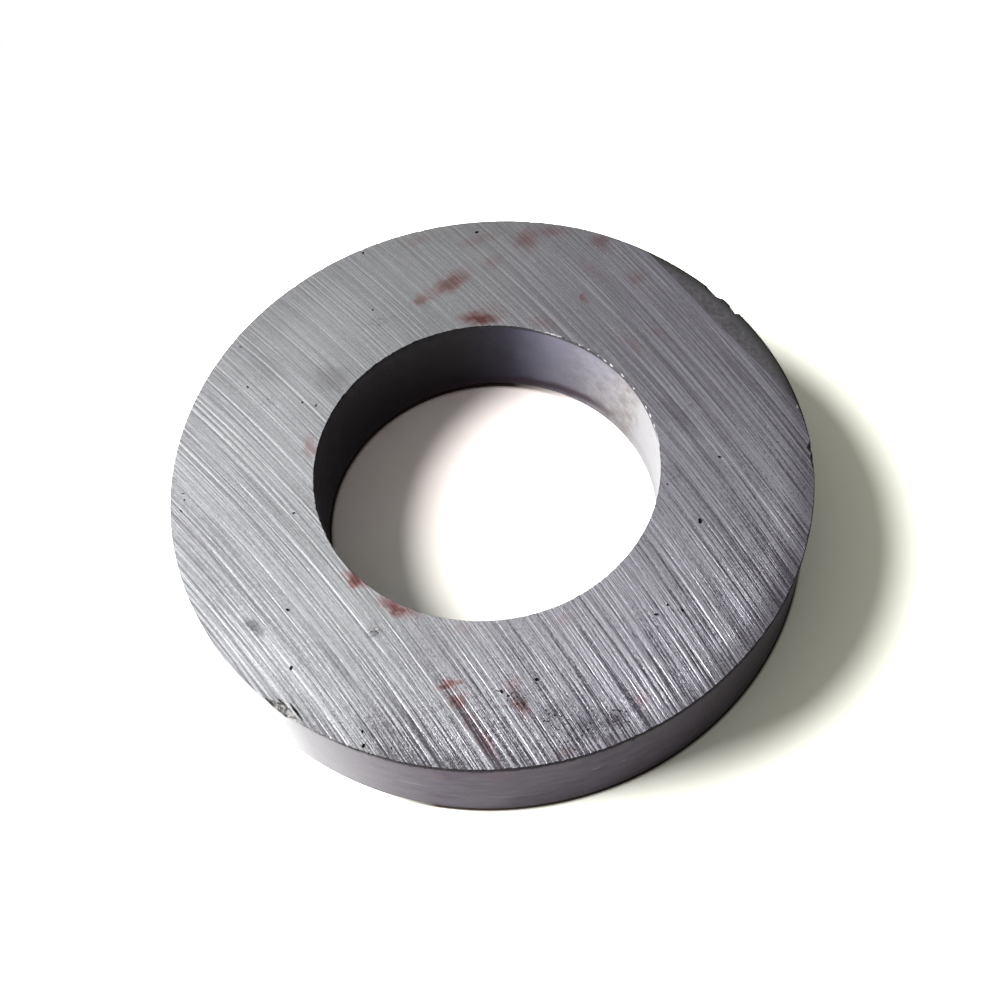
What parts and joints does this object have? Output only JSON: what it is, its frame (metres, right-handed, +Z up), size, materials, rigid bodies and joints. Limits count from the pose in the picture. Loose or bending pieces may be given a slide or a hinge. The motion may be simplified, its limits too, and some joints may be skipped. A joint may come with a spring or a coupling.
{
  "type": "ferrite ring magnet",
  "caption": "Flat sintered ferrite ring magnet with a wide plain bore, ground faces and a chipped, partly unground rim.",
  "frame": {"origin": "on the ring's axis, at the ground underside that it rests on", "axes": "+Z up along the bore axis, through the ring's thickness; the low unground spot on the rim lies at about 27 degrees from +X towards +Y"},
  "size_m": [0.06, 0.06, 0.0102],
  "materials": {
    "sintered_ferrite": "dark sintered sides, ground faces with fine curved wheel marks"
  },
  "bodies": {
    "root": {"ferrite_ring": "sintered_ferrite"}
  },
  "joints": []
}
